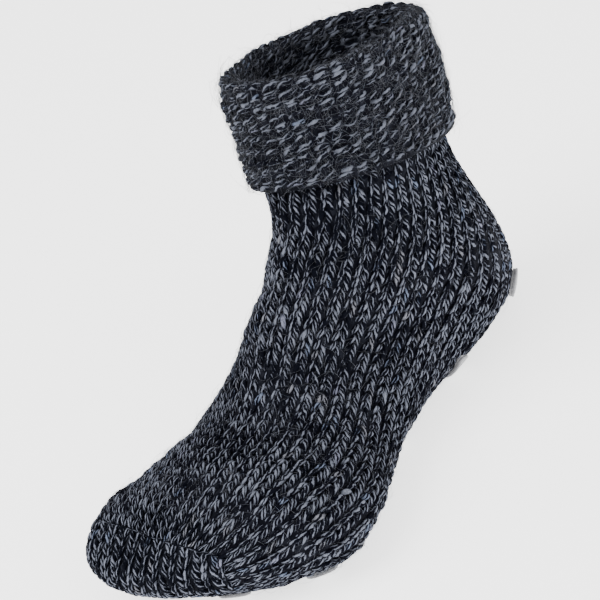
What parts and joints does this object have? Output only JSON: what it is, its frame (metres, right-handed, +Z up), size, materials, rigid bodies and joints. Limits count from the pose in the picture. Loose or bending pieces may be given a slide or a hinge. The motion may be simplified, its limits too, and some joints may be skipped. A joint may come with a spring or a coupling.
{
  "type": "slipper sock",
  "caption": "Chunky knitted slipper sock with a turned-down cuff, a linked toe and round silicone grips under the sole, standing empty",
  "frame": {"origin": "on the floor, under the middle of the sock's bounding box", "axes": "+X to the toe, +Y to the wearer's left, +Z up"},
  "size_m": [0.2588, 0.1192, 0.1705],
  "materials": {
    "marled_wool": "chunky two-ply marled knit in near-black navy and blue grey, brushed and matte",
    "grey_silicone": "pale grey translucent silicone, satin"
  },
  "bodies": {
    "root": {"knitted_sock": "marled_wool", "grip_01": "grey_silicone", "grip_02": "grey_silicone", "grip_03": "grey_silicone", "grip_04": "grey_silicone", "grip_05": "grey_silicone", "grip_06": "grey_silicone", "grip_07": "grey_silicone", "grip_08": "grey_silicone", "grip_09": "grey_silicone", "grip_10": "grey_silicone", "grip_11": "grey_silicone", "grip_12": "grey_silicone", "grip_13": "grey_silicone", "grip_14": "grey_silicone", "grip_15": "grey_silicone", "grip_16": "grey_silicone", "grip_17": "grey_silicone", "grip_18": "grey_silicone", "grip_19": "grey_silicone", "grip_20": "grey_silicone", "grip_21": "grey_silicone", "grip_22": "grey_silicone", "grip_23": "grey_silicone", "grip_24": "grey_silicone", "grip_25": "grey_silicone"}
  },
  "joints": []
}
